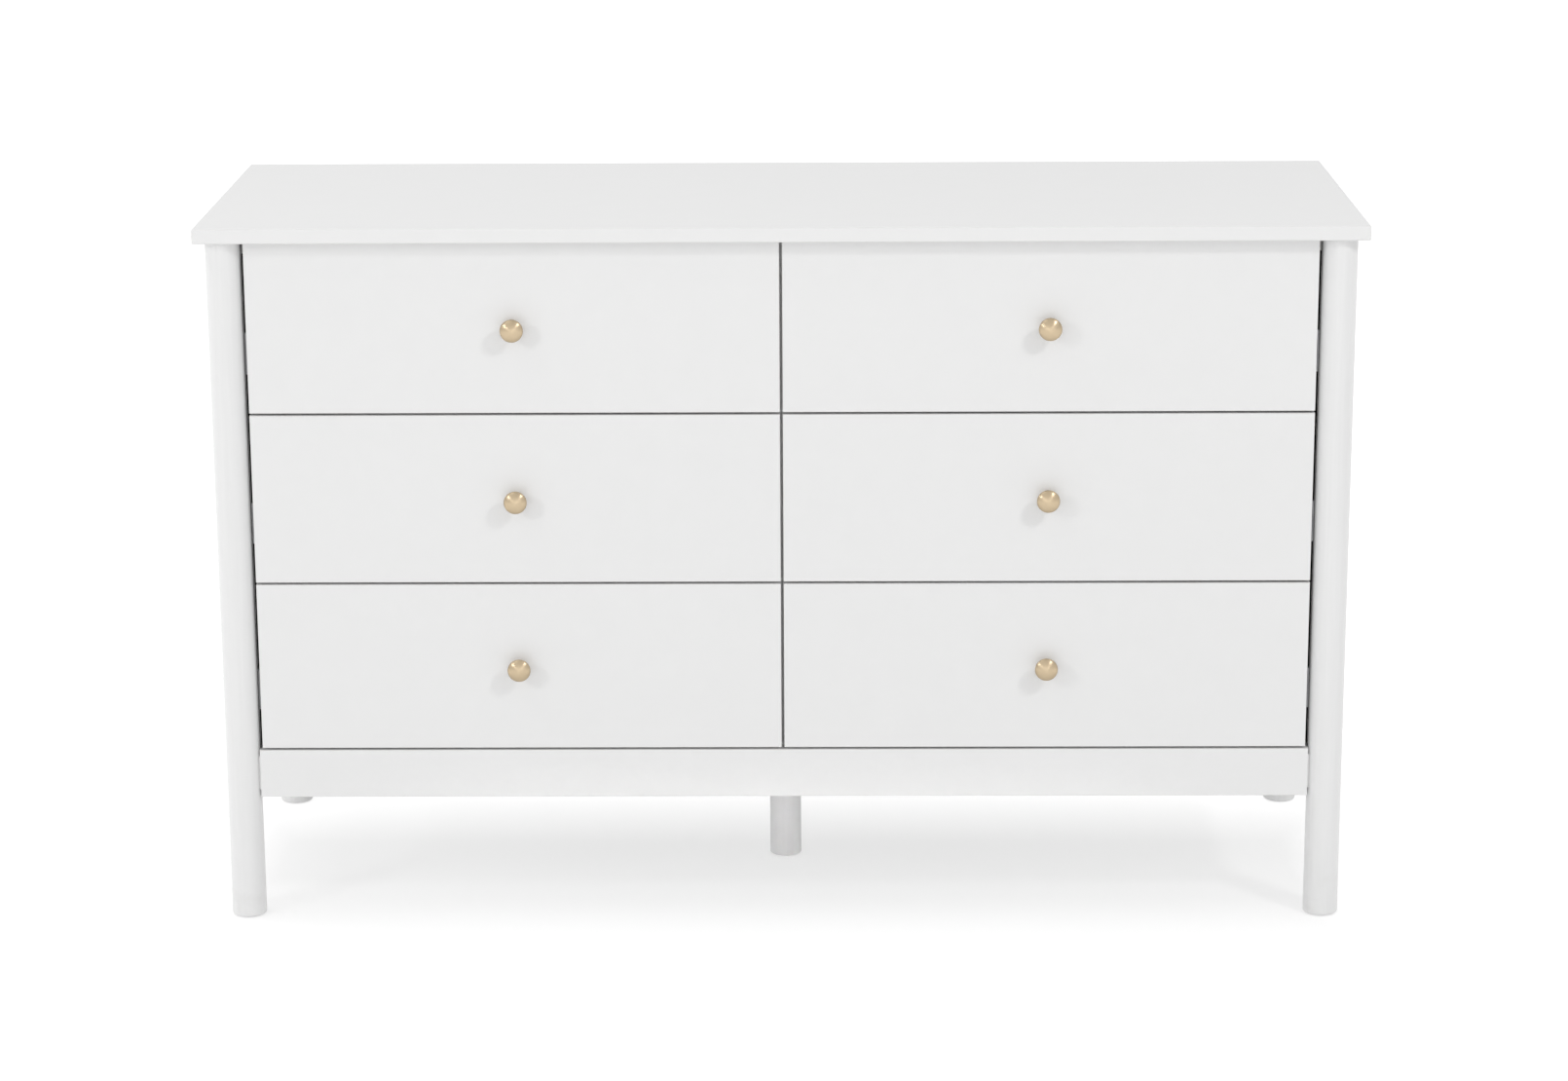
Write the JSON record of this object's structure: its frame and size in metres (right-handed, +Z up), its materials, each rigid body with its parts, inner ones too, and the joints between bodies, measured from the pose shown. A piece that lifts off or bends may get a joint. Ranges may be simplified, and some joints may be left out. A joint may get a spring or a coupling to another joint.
{
  "type": "dresser",
  "caption": "Wide low white chest of drawers with flat fronts, small round metal knobs, an overhanging flat top and round post legs from floor to top.",
  "frame": {"origin": "on the floor, under the middle of the whole dresser, knobs included", "axes": "X across the width, towards the right-hand side seen from the front; Y from the front to the back; Z up"},
  "size_m": [1.25, 0.452, 0.776],
  "materials": {
    "white_top": "white lacquer, satin",
    "white_fronts": "white lacquer, satin",
    "white_legs": "white lacquer, satin",
    "white_board": "white melamine, satin",
    "back_sheet": "thin fibreboard, white printed face",
    "drawer_box": "white foil, matt",
    "drawer_sheet": "thin fibreboard, white printed face",
    "knob_metal": "pale brushed gold",
    "slide_steel": "zinc plated",
    "zinc_fittings": "zinc",
    "plate_steel": "zinc plated",
    "glide_nylon": "nylon"
  },
  "bodies": {
    "carcass": {"top_panel": "white_top", "front_left_leg": "white_legs", "front_right_leg": "white_legs", "rear_left_leg": "white_legs", "rear_right_leg": "white_legs", "centre_leg": "white_legs", "left_side_panel": "white_board", "right_side_panel": "white_board", "centre_partition": "white_board", "bottom_panel": "white_board", "front_apron": "white_fronts", "front_top_rail": "white_board", "rear_rails": "white_board", "back_panels": "back_sheet", "cabinet_runners": "slide_steel", "joint_fittings": "zinc_fittings", "foot_glides": "glide_nylon", "tip_restraint_plates": "plate_steel"},
    "drawer_bottom_left": {"drawer_bottom_left_front": "white_fronts", "drawer_bottom_left_sides": "drawer_box", "drawer_bottom_left_back": "drawer_box", "drawer_bottom_left_bottom": "drawer_sheet", "drawer_bottom_left_knob": "knob_metal", "drawer_bottom_left_runners": "slide_steel"},
    "drawer_bottom_left_slide_middle": {"drawer_bottom_left_mid_runners": "slide_steel"},
    "drawer_bottom_right": {"drawer_bottom_right_front": "white_fronts", "drawer_bottom_right_sides": "drawer_box", "drawer_bottom_right_back": "drawer_box", "drawer_bottom_right_bottom": "drawer_sheet", "drawer_bottom_right_knob": "knob_metal", "drawer_bottom_right_runners": "slide_steel"},
    "drawer_bottom_right_slide_middle": {"drawer_bottom_right_mid_runners": "slide_steel"},
    "drawer_middle_left": {"drawer_middle_left_front": "white_fronts", "drawer_middle_left_sides": "drawer_box", "drawer_middle_left_back": "drawer_box", "drawer_middle_left_bottom": "drawer_sheet", "drawer_middle_left_knob": "knob_metal", "drawer_middle_left_runners": "slide_steel"},
    "drawer_middle_left_slide_middle": {"drawer_middle_left_mid_runners": "slide_steel"},
    "drawer_middle_right": {"drawer_middle_right_front": "white_fronts", "drawer_middle_right_sides": "drawer_box", "drawer_middle_right_back": "drawer_box", "drawer_middle_right_bottom": "drawer_sheet", "drawer_middle_right_knob": "knob_metal", "drawer_middle_right_runners": "slide_steel"},
    "drawer_middle_right_slide_middle": {"drawer_middle_right_mid_runners": "slide_steel"},
    "drawer_top_left": {"drawer_top_left_front": "white_fronts", "drawer_top_left_sides": "drawer_box", "drawer_top_left_back": "drawer_box", "drawer_top_left_bottom": "drawer_sheet", "drawer_top_left_knob": "knob_metal", "drawer_top_left_runners": "slide_steel"},
    "drawer_top_left_slide_middle": {"drawer_top_left_mid_runners": "slide_steel"},
    "drawer_top_right": {"drawer_top_right_front": "white_fronts", "drawer_top_right_sides": "drawer_box", "drawer_top_right_back": "drawer_box", "drawer_top_right_bottom": "drawer_sheet", "drawer_top_right_knob": "knob_metal", "drawer_top_right_runners": "slide_steel"},
    "drawer_top_right_slide_middle": {"drawer_top_right_mid_runners": "slide_steel"}
  },
  "joints": [
    {"name": "drawer_bottom_left_pull", "type": "slide", "parent": "carcass", "child": "drawer_bottom_left", "axis": [0, -1, 0], "range_m": [0, 0.35]},
    {"name": "drawer_bottom_left_middle_travel", "type": "slide", "parent": "carcass", "child": "drawer_bottom_left_slide_middle", "axis": [0, -1, 0], "range_m": [0, 0.175]},
    {"name": "drawer_bottom_right_pull", "type": "slide", "parent": "carcass", "child": "drawer_bottom_right", "axis": [0, -1, 0], "range_m": [0, 0.35]},
    {"name": "drawer_bottom_right_middle_travel", "type": "slide", "parent": "carcass", "child": "drawer_bottom_right_slide_middle", "axis": [0, -1, 0], "range_m": [0, 0.175]},
    {"name": "drawer_middle_left_pull", "type": "slide", "parent": "carcass", "child": "drawer_middle_left", "axis": [0, -1, 0], "range_m": [0, 0.35]},
    {"name": "drawer_middle_left_middle_travel", "type": "slide", "parent": "carcass", "child": "drawer_middle_left_slide_middle", "axis": [0, -1, 0], "range_m": [0, 0.175]},
    {"name": "drawer_middle_right_pull", "type": "slide", "parent": "carcass", "child": "drawer_middle_right", "axis": [0, -1, 0], "range_m": [0, 0.35]},
    {"name": "drawer_middle_right_middle_travel", "type": "slide", "parent": "carcass", "child": "drawer_middle_right_slide_middle", "axis": [0, -1, 0], "range_m": [0, 0.175]},
    {"name": "drawer_top_left_pull", "type": "slide", "parent": "carcass", "child": "drawer_top_left", "axis": [0, -1, 0], "range_m": [0, 0.35]},
    {"name": "drawer_top_left_middle_travel", "type": "slide", "parent": "carcass", "child": "drawer_top_left_slide_middle", "axis": [0, -1, 0], "range_m": [0, 0.175]},
    {"name": "drawer_top_right_pull", "type": "slide", "parent": "carcass", "child": "drawer_top_right", "axis": [0, -1, 0], "range_m": [0, 0.35]},
    {"name": "drawer_top_right_middle_travel", "type": "slide", "parent": "carcass", "child": "drawer_top_right_slide_middle", "axis": [0, -1, 0], "range_m": [0, 0.175]}
  ],
  "couplings": [
    {"joint": "drawer_bottom_left_middle_travel", "follows": "drawer_bottom_left_pull", "ratio": 0.5},
    {"joint": "drawer_bottom_right_middle_travel", "follows": "drawer_bottom_right_pull", "ratio": 0.5},
    {"joint": "drawer_middle_left_middle_travel", "follows": "drawer_middle_left_pull", "ratio": 0.5},
    {"joint": "drawer_middle_right_middle_travel", "follows": "drawer_middle_right_pull", "ratio": 0.5},
    {"joint": "drawer_top_left_middle_travel", "follows": "drawer_top_left_pull", "ratio": 0.5},
    {"joint": "drawer_top_right_middle_travel", "follows": "drawer_top_right_pull", "ratio": 0.5}
  ]
}
